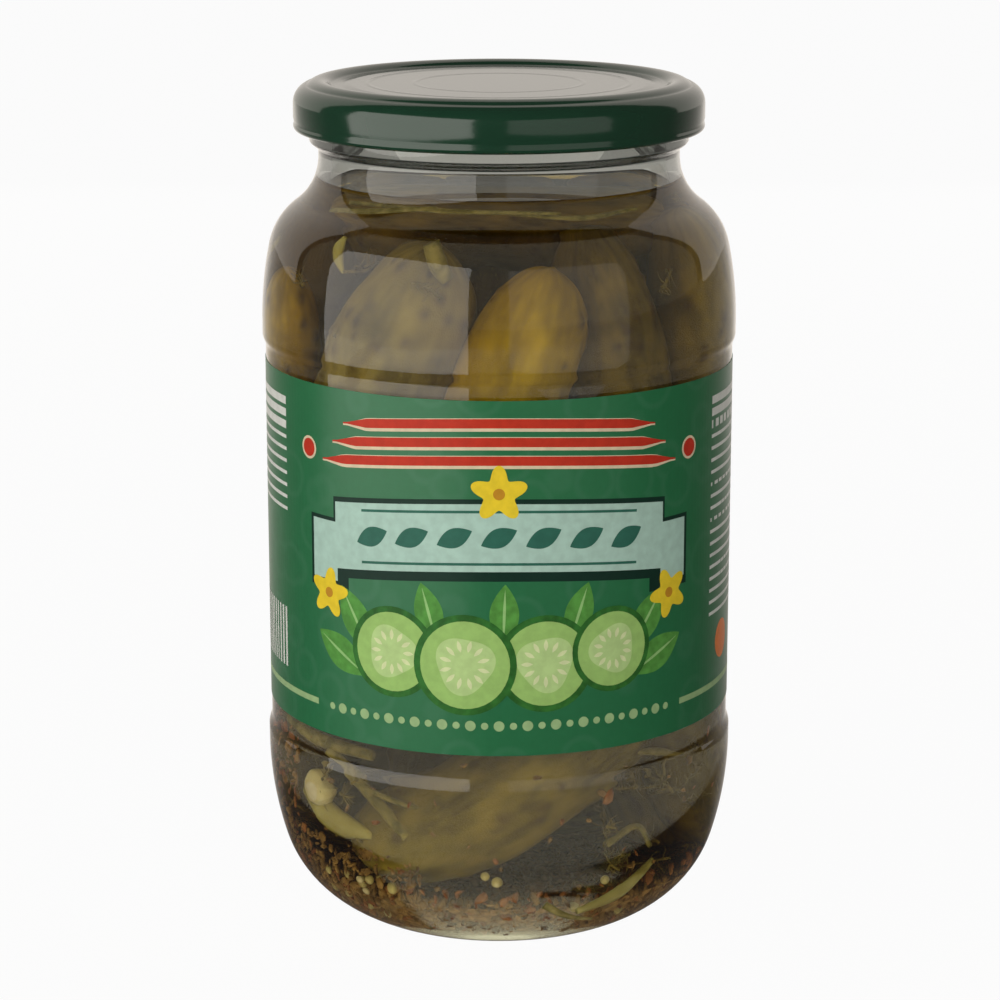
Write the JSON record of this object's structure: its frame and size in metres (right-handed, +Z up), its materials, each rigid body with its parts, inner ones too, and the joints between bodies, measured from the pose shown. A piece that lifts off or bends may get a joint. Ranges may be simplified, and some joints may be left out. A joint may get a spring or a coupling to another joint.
{
  "type": "pickle jar",
  "caption": "Round glass preserving jar full of whole pickled cucumbers in brine, with a sunk label panel and a pressed steel twist-off lid.",
  "frame": {"origin": "on the jar's axis, at the plane of the ring it stands on", "axes": "+Z up the jar's axis, -Y towards the front of the label"},
  "size_m": [0.1002, 0.1002, 0.1807],
  "materials": {
    "glass": "clear flint glass with a faint green cast",
    "lid_paint": "dark green gloss lacquer on tinplate",
    "label_paper": "coated paper printed green",
    "brine": "clear yellow-olive brine over pickles"
  },
  "bodies": {
    "root": {"jar": "glass", "lid": "lid_paint", "label": "label_paper", "contents": "brine"}
  },
  "joints": []
}
